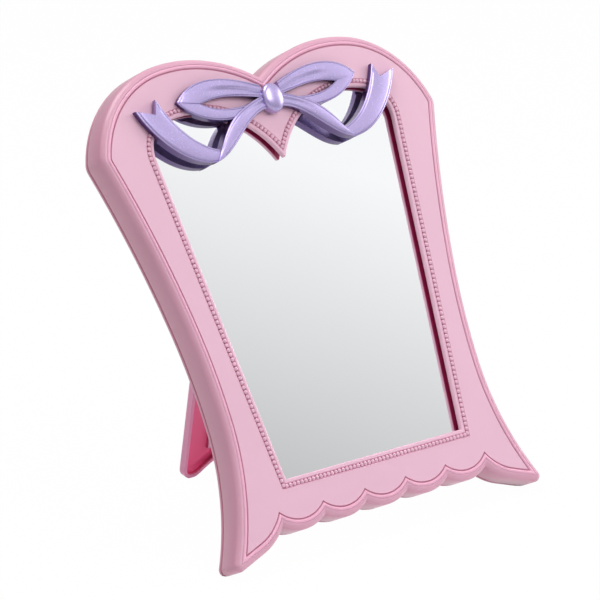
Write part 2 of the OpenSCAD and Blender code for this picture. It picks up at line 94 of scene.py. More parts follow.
def slide(point, along, centre, radius):
    """The first point from a point along a direction that is a radius away from a centre: the
    smaller root of the distance's quadratic equation."""
    d = point - centre
    b = d @ along
    return point + (-b - math.sqrt(b * b - d @ d + radius * radius)) * along


def arc(centre, radius, start, end, count):
    """Points along the shorter arc from one direction to another, without the last point."""
    a0 = math.atan2(start[1] - centre[1], start[0] - centre[0])
    a1 = math.atan2(end[1] - centre[1], end[0] - centre[0])
    sweep = (a1 - a0 + math.pi) % (2 * math.pi) - math.pi
    a = a0 + sweep * np.arange(count) / count
    return np.column_stack([centre[0] + radius * np.cos(a), centre[1] + radius * np.sin(a)])


def straight(start, end, count):
    """Points at even steps along a straight line, without the last point."""
    start = np.asarray(start, float)
    return start + (end - start) * np.linspace(0, 1, count + 1)[:-1, None]


def both_halves(half):
    """The right half followed by its mirror image, as one closed outline."""
    left = half[::-1]
    left = left[left[:, 0] > 1e-6] * [-1, 1]
    return np.vstack([half, left])


# Across (u) and up (v) along the frame, from the middle of its hem.
HEM_PITCH = 25.5  # one scallop to the next
HEM_R = 23.7
HEM_V = 32.1  # height of the scallops' centres
SWEEP_C = np.array([87.5, 34.2])  # the hem ends in an arc that goes on straight to the foot's tip
SWEEP_R = 32.7
SWEEP_A = math.radians(18.3)
SWEEP_N = np.array([math.sin(SWEEP_A), math.cos(SWEEP_A)])
SWEEP_E = np.array([math.cos(SWEEP_A), -math.sin(SWEEP_A)])
LOW_R = 128.0  # the side is three arcs: below the waist, above it, and up to the shoulder
MID_R = 304.0
SIDE_TOP_R = 530.0
WAIST = np.array([79.8, 63.5])
LOW_C = WAIST + [LOW_R, 0]
MID_C = WAIST + [MID_R, 0]
MID_A = 180 - 8.5
TOP_C = polar(MID_C, MID_R - SIDE_TOP_R, MID_A)
LOBE_R = 81.9
END_R = 53.9  # the lobe ends in a tighter arc
LOBE_C = np.array([45.6, PANEL_H - LOBE_R])
LOBE_JOIN_A = 80.5
END_C = polar(LOBE_C, LOBE_R - END_R, LOBE_JOIN_A)
FOOT_ROUND = 3.0
SHOULDER_ROUND = 8.0
LEAST_ROUND = 0.3  # radius that a rounded corner keeps when the outline moves past it


def outline(inset):
    """The frame's outline moved inwards: scallops, foot, hollow side, shoulder and lobe, all arcs
    that keep their centres while their radii change by the inset."""
    hem = HEM_R - inset
    cusp_v = HEM_V - math.sqrt(hem * hem - HEM_PITCH ** 2 / 4)
    last = meet([2 * HEM_PITCH, HEM_V], hem, SWEEP_C, SWEEP_R - inset)
    run = SWEEP_C - (SWEEP_R - inset) * SWEEP_N
    tip_r = max(FOOT_ROUND, inset + LEAST_ROUND)
    tip_c = slide(SWEEP_C - (SWEEP_R - tip_r) * SWEEP_N, SWEEP_E, LOW_C, LOW_R + tip_r)
    tip_a = tip_c - (tip_r - inset) * SWEEP_N
    tip_b = tip_c + (tip_r - inset) * (LOW_C - tip_c) / np.hypot(*(LOW_C - tip_c))
    waist = WAIST - [inset, 0]
    mid = polar(MID_C, MID_R + inset, MID_A)
    cor_r = max(SHOULDER_ROUND, inset + LEAST_ROUND)
    cor_c = meet(END_C, END_R - cor_r, TOP_C, SIDE_TOP_R + cor_r, left=True)
    cor_a = TOP_C + (SIDE_TOP_R + inset) * (cor_c - TOP_C) / np.hypot(*(cor_c - TOP_C))
    cor_b = END_C + (END_R - inset) * (cor_c - END_C) / np.hypot(*(cor_c - END_C))
    join = polar(LOBE_C, LOBE_R - inset, LOBE_JOIN_A)
    notch = np.array([0.0, LOBE_C[1] + math.sqrt((LOBE_R - inset) ** 2 - LOBE_C[0] ** 2)])
    pieces = [arc([0, HEM_V], hem, [0, 0], [HEM_PITCH / 2, cusp_v], 8)]
    for k in (1, 2):
        end = [(k + 0.5) * HEM_PITCH, cusp_v] if k == 1 else last
        pieces.append(arc([k * HEM_PITCH, HEM_V], hem, [(k - 0.5) * HEM_PITCH, cusp_v], end, 16))
    pieces += [
        arc(SWEEP_C, SWEEP_R - inset, last, run, 12),
        straight(run, tip_a, 8),
        arc(tip_c, tip_r - inset, tip_a, tip_b, 12),
        arc(LOW_C, LOW_R + inset, tip_b, waist, 24),
        arc(MID_C, MID_R + inset, waist, mid, 16),
        arc(TOP_C, SIDE_TOP_R + inset, mid, cor_a, 22),
        arc(cor_c, cor_r - inset, cor_a, cor_b, 12),
        arc(END_C, END_R - inset, cor_b, join, 24),
        arc(LOBE_C, LOBE_R - inset, join, notch, 32),
        [notch],
    ]
    return both_halves(np.vstack(pieces))


WIN_V = 32.5  # height of the sill
WIN_HW = 54.8  # half the sill's width
WIN_R = 52.8
WIN_TIP_R = 0.9
WIN_LEAST_TIP = 0.05  # radius that the tip keeps when the outline moves past it
WIN_COR_R = 15.4
WIN_LOBE_C = np.array([47.0, 205.3 - WIN_R])
WIN_JOIN_A = 74.0
WIN_COR_C = polar(WIN_LOBE_C, WIN_R - WIN_COR_R, WIN_JOIN_A)
WIN_FOOT = np.array([WIN_HW, WIN_V]) - WIN_COR_C
WIN_SIDE_A = math.atan2(WIN_FOOT[1], WIN_FOOT[0]) + math.acos(WIN_COR_R / np.hypot(*WIN_FOOT))
WIN_N = np.array([math.cos(WIN_SIDE_A), math.sin(WIN_SIDE_A)])  # outwards from the side


def side_u(offset, v):
    """Half the window's width at a height, with its slanting side moved outwards: u on the line
    whose points have the same product with WIN_N."""
    return (WIN_N @ WIN_COR_C + WIN_COR_R + offset - WIN_N[1] * v) / WIN_N[0]


def window(offset):
    """The window's outline moved outwards: a straight sill, slanting sides, round corners and two
    lobes that meet in a tip. Its arcs keep their centres while their radii change by the offset."""
    r = WIN_R + offset
    low = WIN_V - offset
    blunt = max(WIN_TIP_R - offset, WIN_LEAST_TIP)
    tip_c = np.array([0.0, WIN_LOBE_C[1] + math.sqrt((r + blunt) ** 2 - WIN_LOBE_C[0] ** 2)])
    tip = WIN_LOBE_C + r * (tip_c - WIN_LOBE_C) / np.hypot(*(tip_c - WIN_LOBE_C))
    end = tip_c - [0, blunt]
    foot = np.array([side_u(offset, low), low])
    start = WIN_COR_C + (WIN_COR_R + offset) * WIN_N
    half = np.vstack([
        straight([0, low], foot, 12),
        straight(foot, start, 24),
        arc(WIN_COR_C, WIN_COR_R + offset, start, polar(WIN_COR_C, 1, WIN_JOIN_A), 14),
        arc(WIN_LOBE_C, r, polar(WIN_LOBE_C, r, WIN_JOIN_A), tip, 34),
        arc(tip_c, blunt, tip, end, 5),
        [end],
    ])
    return both_halves(half)


# ---------------------------------------------------------------- placing
def frame_shift():
    """How far the leaned frame is moved back and up: the glass's place, less the place that the
    lean alone would give it."""
    low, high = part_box("mirror_pane")
    pane_low = WIN_V - GLASS_BELOW
    y = GLASS_D * math.cos(LEAN) + pane_low * math.sin(LEAN)
    z = pane_low * math.cos(LEAN) - GLASS_BACK_D * math.sin(LEAN)
    return low[1] / MM - y, low[2] / MM - z


SHIFT_Y, SHIFT_Z = frame_shift()


def stand(points):
    """Takes points across, into the depth and up along the frame to the leaned frame, in metres:
    turned about the across axis by the lean, and moved back and up. What would reach below the
    floor is flat on it."""
    p = np.asarray(points, float)
    y = p[:, 1] * math.cos(LEAN) + p[:, 2] * math.sin(LEAN) + SHIFT_Y
    z = p[:, 2] * math.cos(LEAN) - p[:, 1] * math.sin(LEAN) + SHIFT_Z
    return np.column_stack([p[:, 0], y, np.maximum(z, 0)]) * MM


def ring(points, depth):
    """An outline at one depth, as points in space."""
    return np.column_stack([points[:, 0], np.full(len(points), depth), points[:, 1]])


def circle(centre, radius, count):
    """Points round a circle."""
    a = 2 * np.pi * np.arange(count) / count
    return np.column_stack([centre[0] + radius * np.cos(a), centre[1] + radius * np.sin(a)])


def grid_faces(rows, cols, first=0):
    """Quads between neighbouring rows of a grid of points, each row closed to a ring. The grid's
    first point has the number first."""
    r = cols * np.arange(rows - 1)[:, None]
    c = np.arange(cols)[None, :]
    c1 = (c + 1) % cols
    quads = np.stack([r + c, r + c1, r + cols + c1, r + cols + c], axis=-1)
    return (quads.reshape(-1, 4) + first).tolist()


def plane_faces(outer, inner_loops, first_outer, firsts_inner):
    """Triangles that fill a flat outline with holes in it."""
    loops = [[Vector((x, y, 0)) for x, y in outer]]
    index = list(range(first_outer, first_outer + len(outer)))
    for hole, first in zip(inner_loops, firsts_inner):
        loops.append([Vector((x, y, 0)) for x, y in hole])
        index += range(first, first + len(hole))
    return [[index[i] for i in tri] for tri in tessellate_polygon(loops)]


def join_parts(parts):
    """Several sets of points, faces and painted shade tones as one."""
    points, faces, tones, total = [], [], [], 0
    for p, f, d in parts:
        points.append(p)
        tones.append(d)
        faces += [[i + total for i in face] for face in f]
        total += len(p)
    return np.vstack(points), faces, np.concatenate(tones)


def vertex_places(mesh):
    """The places of a mesh's points in metres, a row of x, y and z for each."""
    co = np.empty(len(mesh.vertices) * 3)
    mesh.vertices.foreach_get("co", co)
    return co.reshape(-1, 3)


def set_painted_shade(mesh, deep):
    """Writes the painted shade of each point: how far its colour goes towards its material's deep
    tone, or towards a painted highlight where negative.
    """
    # The deep attribute carries painted shade, and painted highlight where it is negative.
    layer = mesh.attributes.new("deep", "FLOAT", "POINT")
    layer.data.foreach_set("value", np.asarray(deep, float))


def placed(name, data):
    """A new object of the scene that shows this data."""
    obj = bpy.data.objects.new(name, data)
    bpy.context.scene.collection.objects.link(obj)
    return obj


def make_object(name, points, faces, deep, material, body="frame", replaces=(),
                sharp=32):
    """A finished piece in metres: smooth shading with creases past an angle, riding on a body. deep
    is the painted shade of each point.
    """
    mesh = bpy.data.meshes.new(name)
    mesh.from_pydata(points.tolist(), [], faces)
    set_painted_shade(mesh, deep)
    bm = bmesh.new()
    bm.from_mesh(mesh)
    bmesh.ops.remove_doubles(bm, verts=bm.verts, dist=1e-7)
    bmesh.ops.recalc_face_normals(bm, faces=bm.faces)
    bm.to_mesh(mesh)
    bm.free()
    mesh.shade_smooth()
    mesh.set_sharp_from_angle(angle=math.radians(sharp))
    mesh.materials.append(material)
    obj = placed(name, mesh)
    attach(obj, body)
    if replaces:
        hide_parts(*replaces)
    return obj


# ---------------------------------------------------------------- frame shell
GROOVE_IN = 2.7  # inset of the outer groove; the ridge and the inner groove follow it
OUTER_GROOVE_W = 0.45
OUTER_GROOVE_DEEP = 0.3
RIDGE_W = 1.3
RIDGE_RISE = 0.3
GROOVE_W = 0.8
GROOVE_DEEP = 0.7
GROOVE_PAINTED_SHADE = 0.85  # painted shade in a groove, for each millimetre of its depth
RIDGE_PAINTED_HIGHLIGHT = -0.75  # painted highlight on the ridge: a negative tone is a bright one
EDGE_POWER = 1.2  # 1 makes the front edge round and 2 makes it a chamfer
WALL_PAINTED_SHADE = 0.38  # painted shade on the outer wall: how far its colour goes towards the deep tone
EDGE_LESS_PAINTED_SHADE = 0.12  # how much less painted shade is left where the front edge meets the face
WALL_MID_D = 6.0  # depth of an extra ring on the wall
# The parting line's lips: inset, distance from the parting line, and painted shade, darkest in
# its groove.
PARTING = np.array([[0.4, 0, 0.8], [0.35, 0.15, 0.75], [0.08, 0.35, 0.6], [0, 0.5, WALL_PAINTED_SHADE]])
CHANNEL_W = 2.7  # the beading's channel
CHANNEL_DEEP = 0.8
LIP_R = 0.9
SEAT_IN = 3.0  # the rib on which the glass is seated, outwards from the window's edge
SEAT_OUT = 4.2
BEAD_IN = 3.0  # the beads' middles, outwards from the window's edge
BEAD_R = 1.12
BEAD_D = 0.52  # their depth
BEAD_ROWS = 6
BEAD_COLS = 10
BEAD_LOW_A = -30  # a bead's sunk end, in degrees behind its middle
BEAD_PAINTED_SHADE_FROM = -0.45  # painted shade on a bead starts at this depth, in parts of its radius
# how fast the painted shade deepens towards a bead's back
BEAD_PAINTED_SHADE_RATE = 1.6


def dip(start, width, deep, count=5):
    """Profile points of a round-bottomed groove: half a sine across its width, painted darker as
    shade where deeper. A negative depth makes a ridge with a painted highlight, and a negative
    width a groove that runs the other way."""
    t = np.linspace(0, 1, count)
    fall = np.sin(np.pi * t)
    tones = (GROOVE_PAINTED_SHADE * deep if deep > 0 else RIDGE_PAINTED_HIGHLIGHT) * fall
    return np.column_stack([start + width * t, deep * fall, tones])


def shell_profile():
    """From the parting line forwards, round the front edge and over the two grooves and the ridge:
    rows of inset, depth and painted shade, a painted highlight where negative. The edge is a
    quarter of a superellipse, 1 less a power of the cosine and of the sine of the angle round it."""
    a = np.radians(np.linspace(0, 90, 9))
    edge = np.column_stack([FRONT_ROUND * (1 - np.cos(a) ** EDGE_POWER),
                            FRONT_ROUND * (1 - np.sin(a) ** EDGE_POWER),
                            WALL_PAINTED_SHADE - EDGE_LESS_PAINTED_SHADE * np.sin(a)])
    ridge_in = GROOVE_IN + OUTER_GROOVE_W
    outer = dip(GROOVE_IN, OUTER_GROOVE_W, OUTER_GROOVE_DEEP)
    ridge = dip(ridge_in, RIDGE_W, -RIDGE_RISE, 7)[1:-1]
    inner = dip(ridge_in + RIDGE_W, GROOVE_W, GROOVE_DEEP, 7)
    wall = PARTING * [1, -1, 1] + [0, SPLIT_D, 0]
    return np.vstack([wall, [[0, WALL_MID_D, WALL_PAINTED_SHADE]], edge, outer, ridge, inner])


def lip_profile():
    """From the flat face inwards, through the beading's channel and over the round lip to the seat
    rib: rows of outward offset from the window's edge, depth and painted shade, full in the recess
    behind the lip. The lip is a quarter of a circle with its back corner cut off."""
    a = np.radians(np.linspace(90, 0, 6))
    channel = dip(BEAD_IN + CHANNEL_W / 2, -CHANNEL_W, CHANNEL_DEEP, 9)
    lip = np.column_stack([LIP_R - LIP_R * np.cos(a), LIP_R - LIP_R * np.sin(a), np.zeros(6)])
    # The hidden rows behind the lip are in full painted shade.
    hidden = [[0, WALL - 0.3, 0.3], [0.25, WALL, 1], [SEAT_IN, WALL, 1], [SEAT_IN, GLASS_D, 1],
              [SEAT_OUT, GLASS_D, 1], [SEAT_OUT, WALL, 1]]
    return np.vstack([channel, lip, hidden])


def make_shell(material):
    """The moulded front shell: rings of the outline, a flat face, rings of the window, and the
    pocket behind the face."""
    outer_rows, inner_rows = shell_profile(), lip_profile()
    outer = [ring(outline(i), d) for i, d, _ in outer_rows]
    inner = [ring(window(o), d) for o, d, _ in inner_rows]
    pocket = [ring(outline(WALL), WALL), ring(outline(WALL), SPLIT_D)]
    n, m = len(outer[0]), len(inner[0])
    first_inner = n * len(outer)
    first_pocket = first_inner + m * len(inner)
    first_rim = first_pocket + n
    points = np.vstack(outer + inner + pocket)
    # Painted shade for each ring from its profile, and full painted shade in the pocket.
    tones = [np.repeat(outer_rows[:, 2], n), np.repeat(inner_rows[:, 2], m), np.ones(2 * n)]
    faces = grid_faces(len(outer), n)
    faces += grid_faces(len(inner), m, first_inner)
    faces += grid_faces(2, n, first_pocket)
    faces += plane_faces(outer[-1][:, ::2], [inner[0][:, ::2]], first_inner - n, [first_inner])
    faces += plane_faces(pocket[0][:, ::2], [inner[-1][:, ::2]], first_pocket, [first_pocket - m])
    faces += [[first_rim + k, first_rim + (k + 1) % n, (k + 1) % n, k] for k in range(n)]
    return make_object("frame_shell", stand(points), faces, np.concatenate(tones), material,
                       replaces=["front_frame"])


def make_beads(material):
    """A row of touching beads: one low-poly ball repeated at even steps along the channel, with
    painted shade towards the back of each ball.
    """
    path = window(BEAD_IN)
    closed = np.vstack([path, path[:1]])
    run = np.concatenate([[0], np.cumsum(np.hypot(*np.diff(closed, axis=0).T))])
    count = int(round(run[-1] / settings().bead_pitch * MM))
    at = (np.arange(count) + 0.5) * run[-1] / count
    u = np.interp(at, run, closed[:, 0])
    v = np.interp(at, run, closed[:, 1])
    lat = np.radians(np.linspace(90, BEAD_LOW_A, BEAD_ROWS))[:, None]
    lon = np.radians(np.arange(BEAD_COLS) * 360 / BEAD_COLS)
    ball = np.stack([np.cos(lat) * np.cos(lon), -np.sin(lat) * np.ones(BEAD_COLS),
                     np.cos(lat) * np.sin(lon)], axis=-1).reshape(-1, 3) * BEAD_R
    centres = np.column_stack([u, np.full(count, BEAD_D), v])
    points = (centres[:, None, :] + ball).reshape(-1, 3)
    # Painted shade on the back of each ball.
    tones = np.clip((ball[:, 1] / BEAD_R - BEAD_PAINTED_SHADE_FROM) * BEAD_PAINTED_SHADE_RATE, 0, 1)
    firsts = len(ball) * np.arange(count)[:, None, None]
    faces = (firsts + grid_faces(BEAD_ROWS, BEAD_COLS)).reshape(-1, 4).tolist()
    return make_object("bead_row", stand(points), faces, np.tile(tones, count), material,
                       sharp=80)


# ---------------------------------------------------------------- back cover
HINGE_V = 178.0  # height of the pin, along the frame
HINGE_D = FRAME_T + 4.1
EAR_R = 3.6
EAR_T = 5.0
EAR_U = 27.8  # inner side of the ears, from the middle
EAR_CHAMFER = 0.4
EAR_SUNK = 1  # how far the hinge ears reach into the cover
SCREW_APART = 7  # screws are further apart than this
HOLE_POINTS = 32
HEAD_R = 3.1
HEAD_D = FRAME_T - 2.6
HEAD_CHAMFER = 0.3
SHANK_R = 1.6
COLLAR_R = 4.5  # the collar inside the cover, round each screw
COLLAR_D = 10.2
# A screw hole from the cover's back forwards, as radius and depth.
SCREW_HOLE = ((HEAD_R + HEAD_CHAMFER, FRAME_T), (HEAD_R, FRAME_T - HEAD_CHAMFER), (HEAD_R, HEAD_D),
              (SHANK_R, HEAD_D), (SHANK_R, COLLAR_D), (COLLAR_R, COLLAR_D), (COLLAR_R, SPLIT_D))


def screw_spots():
    """Where the cover's screws are, from the middle of their heads."""
    x, y, z = (vertex_places(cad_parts["cover_screws"].data) / MM).T
    v = (y - SHIFT_Y) * math.sin(LEAN) + (z - SHIFT_Z) * math.cos(LEAN)
    left = np.column_stack([x, v])
    found = []
    while len(left):
        near = np.hypot(*(left - left[0]).T) < SCREW_APART
        low, high = left[near].min(0), left[near].max(0)
        found.append((low + high) / 2)
        left = left[~near]
    return found


def ear_part(low):
    """A hinge ear: a round-topped block from the cover to the pin, extruded across from its low
    side, with its round end chamfered."""
    about = np.array([HINGE_D, HINGE_V])
    a = np.linspace(-np.pi / 2, np.pi / 2, 17)
    back = about + EAR_R * np.column_stack([np.cos(a), np.sin(a)])
    root_d = FRAME_T - EAR_SUNK
    side = np.vstack([[[root_d, HINGE_V - EAR_R]], back, [[root_d, HINGE_V + EAR_R]]])
    rows = []
    for cut, u in ((EAR_CHAMFER, low), (0, low + EAR_CHAMFER),
                   (0, low + EAR_T - EAR_CHAMFER), (EAR_CHAMFER, low + EAR_T)):
        shape = side.copy()
        shape[1:-1] = about + (side[1:-1] - about) * (1 - cut / EAR_R)
        rows.append(np.column_stack([np.full(len(shape), u), shape]))
    n, last = len(side), (len(rows) - 1) * len(side)
    faces = grid_faces(len(rows), n) + [list(range(n)), list(range(last, last + n))]
    return np.vstack(rows), faces, np.zeros(len(rows) * n)


def make_cover(material):
    """The back cover: a plate with a rounded rim and counterbored screw holes, and two hinge ears.
    Round the rim, the wall's painted shade fades with the square of the sine."""
    a = np.radians(np.linspace(90, 0, 7))
    rim = np.column_stack([BACK_ROUND * (1 - np.sin(a)), FRAME_T - BACK_ROUND * (1 - np.cos(a)),
                           WALL_PAINTED_SHADE * np.sin(a) ** 2])
    profile = np.vstack([PARTING + [0, SPLIT_D, 0], rim])
    outer = [ring(outline(i), d) for i, d, _ in profile]
    n = len(outer[0])
    total = n * len(outer)
    points, faces = list(outer), grid_faces(len(outer), n)
    holes, firsts, ends = [], [], []
    for spot in screw_spots():
        rows = [ring(circle(spot, r, HOLE_POINTS), d) for r, d in SCREW_HOLE]
        points += rows
        faces += grid_faces(len(rows), HOLE_POINTS, total)
        holes.append(rows)
        firsts.append(total)
        total += HOLE_POINTS * len(rows)
        ends.append(total - HOLE_POINTS)
    back, front = [h[0][:, ::2] for h in holes], [h[-1][:, ::2] for h in holes]
    faces += plane_faces(outer[-1][:, ::2], back, n * (len(outer) - 1), firsts)
    faces += plane_faces(outer[0][:, ::2], front, 0, ends)
    tones = np.zeros(total)
    tones[:n * len(outer)] = np.repeat(profile[:, 2], n)
    parts = [(np.vstack(points), faces, tones), ear_part(EAR_U), ear_part(-EAR_U - EAR_T)]
    points, faces, tones = join_parts(parts)
    return make_object("back_shell", stand(points), faces, tones, material,
                       replaces=["back_cover"])


# ---------------------------------------------------------------- bow
# The ribbon's edges on the right, as cubic curves from the bow's middle.
LOOP_TOP = [[5.5, 7.3], [34, 18.5], [47.5, 13], [54.5, 5.5]]
LOOP_TOP_IN = [[5.5, 1], [22, 4.4], [30, 5.8], [41, 3]]
LOOP_LOW = [[5.5, -3.5], [22, -9.5], [44.5, -7.5], [54.5, 5.5]]
LOOP_LOW_IN = [[5.5, 0.5], [22, -2.5], [33, -2], [41, 3]]
STRAND_IN = [[5.5, 2], [27, -3.5], [31, -10], [41.5, -24.5]]
STRAND_OUT = [[5, -4.5], [19, -6], [30, -24], [43, -25.2]]
TAIL_IN = [[36, -20.2], [50, -17], [60, -6], [66, 8.5]]
TAIL_OUT = [[41.5, -25.1], [59, -25], [73, -9], [79, 4.5]]
NOTCH = [68.5, 1.4]  # the inner point of a tail's notch
NOTCH_FROM = 0.72  # where along a tail the pull towards its notch starts
BAND_STEPS = 44
BAND_ACROSS = 17
LEAST_BAND_W = 0.8
BOW_SEAT = 0.6  # the bow rests on the beading, this far in front of the face
SKIRT_DROP = 1.7  # how far the ribbon's walls reach down inside the window
SKIRT_IN = 1.0  # the walls start to reach down this far inside the lip
SKIRT_SLOPE = 0.8  # and reach all the way down this much further in
RIBBON_H = 3.2  # height of the ribbon's edge above the face
EDGE_ROLL = 0.35
EDGE_DROP = 0.75  # height of the wall below the ribbon's edge whose painted shade is a little lighter
EDGE_PAINTED_SHADES = [1, 0.95, 0.85, 0.45, 0.1, 0]  # painted shade from the foot of the wall up and over the edge
LINE_IN = 1.0  # distance of the fine line, a shallow groove painted darker as shade, from the ribbon's edge
LINE_HW = 0.22
LINE_DEEP = 0.16
# Painted shade in the fine line's groove.
LINE_PAINTED_SHADE = 0.6
LINE_SHARE = 0.2  # there is no line where its distance is more of the ribbon's width than this
UNDER_PAINTED_SHADE = 0.55  # painted shade on the ribbon's underside: how far it goes towards the deep tone
KNOT_HW = 6.0
KNOT_HH = 7.1
KNOT_H = 6.3
KNOT_WALL_H = 3.4
KNOT_SUNK = 1.0  # the knot's wall starts in the ribbon, this far in front of the face
KNOT_FLATTER = 0.6  # 1 makes the knot's top round, and less makes it flatter
KNOT_POLE = 0.02  # size of the small face that closes the top
KNOT_ROWS = 12
KNOT_COLS = 48


def bezier(control, t):
    """A cubic curve from the first control point to the last, in which the four are weighted by
    the terms of ((1 - t) + t)^3."""
    p = np.asarray(control, float)
    s = 1 - t
    return s ** 3 * p[0] + 3 * s ** 2 * t * p[1] + 3 * s * t ** 2 * p[2] + t ** 3 * p[3]


def smooth(x):
    """Rises from 0 to 1 with level ends, as 3x^2 - 2x^3."""
    x = np.clip(x, 0, 1)
    return x * x * (3 - 2 * x)


def level(start, end, reach):
    """A smooth change from one value to another, over the first part of the way along."""
    return lambda t: start + (end - start) * smooth(t / reach)


def band(a, b, height, crown, pleats=(), end_notch=None):
    """A ribbon between two edge curves, as a grid of steps along it and points round it: up a steep
    wall, over a rounded edge, across the top, down the other wall and back underneath. The top is
    at the height plus the crown times 1 - (2s - 1)^2 across it, less a bell curve for each pleat,
    with a fine line near each edge. Pleats run out along the ribbon, and a notch pulls in the
    middle of its end. height and crown are functions of the way along, and a pleat is its place
    across, depth, width and reach along. Gives points, faces and the painted shade of each point:
    on the walls, in the fine lines and underneath."""
    t = np.linspace(0, 1, BAND_STEPS)[:, None]
    p, q = bezier(a, t), bezier(b, t)
    width = np.maximum(np.hypot(*(q - p).T), LEAST_BAND_W)[:, None]
    h = height(t)

    inside = np.minimum(EDGE_ROLL, 0.25 * width) / width
    roll = np.linspace(0, np.pi / 2, 4)
    edge_s = inside * (1 - np.cos(roll))
    edge_h = (h - EDGE_ROLL) + EDGE_ROLL * np.sin(roll)

    line_s = LINE_IN / width
    near = line_s + LINE_HW / width * [-1, 0, 1]
    start = near[:, 2:]
    flat = start + (1 - 2 * start) * np.linspace(0, 1, BAND_ACROSS - 2 * near.shape[1])[1:-1]
    plain = inside + (1 - 2 * inside) * np.linspace(0, 1, BAND_ACROSS)[1:-1]
    line_fits = line_s < LINE_SHARE
    top_s = np.where(line_fits, np.hstack([near, flat, 1 - near[:, ::-1]]), plain)
    lined = np.zeros_like(top_s)
    lined[:, [1, -2]] = line_fits
    top_h = h + crown(t) * (1 - (2 * top_s - 1) ** 2)
    for where, deep, wide, reach in pleats:
        fade = 1 - smooth(t / reach)
        top_h = top_h - deep * fade * np.exp(-((top_s - where) / wide) ** 2)
    top_h = top_h - LINE_DEEP * lined

    none, seat = np.zeros((BAND_STEPS, 2)), np.full((BAND_STEPS, 1), BOW_SEAT)
    over_s = np.hstack([none, edge_s, top_s, 1 - edge_s[:, ::-1], none + 1])
    over_h = np.hstack([seat, h - EDGE_DROP, edge_h, top_h, edge_h[:, ::-1], h - EDGE_DROP, seat])
    edge_tones = np.tile(EDGE_PAINTED_SHADES, (BAND_STEPS, 1))
    under_s = over_s[:, -2:0:-1]
    under_tones = np.where((under_s > 0) & (under_s < 1), UNDER_PAINTED_SHADE, 1)
    s = np.hstack([over_s, under_s])
    depth = -np.hstack([over_h, np.full(under_s.shape, BOW_SEAT)])
    # Painted shade on the walls, in the fine lines and under the ribbon.
    tones = np.hstack([edge_tones, LINE_PAINTED_SHADE * lined, edge_tones[:, ::-1], under_tones])

    place = p[:, None] + (q - p)[:, None] * s[:, :, None]
    if end_notch is not None:
        pull = smooth((t - NOTCH_FROM) / (1 - NOTCH_FROM)) * (1 - np.abs(2 * s - 1))
        place = place + (np.asarray(end_notch) - (p[-1] + q[-1]) / 2) * pull[:, :, None]
    points = np.stack([place[:, :, 0], depth, place[:, :, 1]], axis=-1).reshape(-1, 3)

    n = s.shape[1]
    faces = grid_faces(BAND_STEPS, n)
    for first in (0, (BAND_STEPS - 1) * n):
        faces += [[first + k, first + k + 1, first + (n - k - 1) % n, first + (n - k) % n]
                  for k in range(n // 2)]
    return points, faces, tones.ravel()


def inside_window(u, v):
    """1 for points well inside the window, falling to 0 at its lip: a smooth step of the distance
    in from the nearest lobe, corner or slanting side."""
    lobe = WIN_R - np.hypot(np.abs(u) - WIN_LOBE_C[0], v - WIN_LOBE_C[1])
    corner = WIN_COR_R - np.hypot(np.abs(u) - WIN_COR_C[0], v - WIN_COR_C[1])
    side = np.where(v < WIN_COR_C[1], side_u(0, v) - np.abs(u), -np.inf)
    within = np.where(np.abs(u) > WIN_COR_C[0], np.maximum(corner, side), lobe)
    return smooth((within - SKIRT_IN) / SKIRT_SLOPE)


def mirrored(part):
    """A part and its mirror image across the middle."""
    points, faces, tones = part
    return [part, (points * [-1, 1, 1], [face[::-1] for face in faces], tones)]


def make_bow(material):
    """The moulded ribbon: two loops, two crossing strands and two notched tails on each side. Where
    it crosses the window, its walls reach down behind the lip."""
    loop_top = band(LOOP_TOP, LOOP_TOP_IN, level(3.5, RIBBON_H, 0.5), level(0.9, 0.3, 0.6),
                    pleats=[(0.62, 1.1, 0.14, 0.8), (0.28, 0.5, 0.1, 0.5)])
    loop_low = band(LOOP_LOW_IN, LOOP_LOW, level(2.9, 2.7, 0.5), level(0.6, 0.2, 0.5),
                    pleats=[(0.5, 0.5, 0.2, 0.5)])
    strand = band(STRAND_IN, STRAND_OUT, level(3.3, 3.8, 0.4), level(0.8, 0.3, 0.6),
                  pleats=[(0.5, 0.7, 0.16, 0.5)])
    tail = band(TAIL_IN, TAIL_OUT, level(3.1, 3.2, 0.5), level(0.2, 0.3, 0.5), end_notch=NOTCH)
    parts = []
    for part in (loop_top, loop_low, strand, tail):
        parts += mirrored(part)
    points, faces, tones = join_parts(parts)
    points[:, 2] += BOW_V
    seated = np.abs(points[:, 1] + BOW_SEAT) < 1e-6
    points[seated, 1] += SKIRT_DROP * inside_window(points[seated, 0], points[seated, 2])
    return make_object("bow_ribbon_shell", stand(points), faces, tones, material,
                       replaces=["bow_ribbon"], sharp=40)


def make_knot(material):
    """The bow's knot: an oval cushion on a short wall, as wide as the cosine of its angle and as
    high as a power of the sine."""
    a = 2 * np.pi * np.arange(KNOT_COLS) / KNOT_COLS
    b = np.linspace(0, np.pi / 2, KNOT_ROWS)
    reach = np.concatenate([[1], np.cos(b[:-1]), [KNOT_POLE]])[:, None]
    rise = KNOT_WALL_H + (KNOT_H - KNOT_WALL_H) * np.sin(b) ** KNOT_FLATTER
    height = np.concatenate([[KNOT_SUNK], rise])[:, None]
    points = np.stack([KNOT_HW * reach * np.cos(a), -height * np.ones(KNOT_COLS),
                       KNOT_HH * reach * np.sin(a) + BOW_V], axis=-1).reshape(-1, 3)
    last = KNOT_ROWS * KNOT_COLS
    faces = grid_faces(KNOT_ROWS + 1, KNOT_COLS)
    faces += [list(range(KNOT_COLS)), list(range(last, last + KNOT_COLS))]
    return make_object("bow_knot_dome", stand(points), faces, np.zeros(len(points)), material,
                       replaces=["bow_knot"], sharp=50)


# ---------------------------------------------------------------- leg
LEG_TILT = math.radians(10.5)
LEG_FLOOR = 0.7  # the trough's floor, behind the plane through the pin and along the leg
LEG_FLOOR_NEAR = 0.15  # points this near to the floor are part of it
LEG_HEAD = 4.0  # the leg's head ends this far below the pin
LEG_SOFT = 0.5  # width of its softened edges


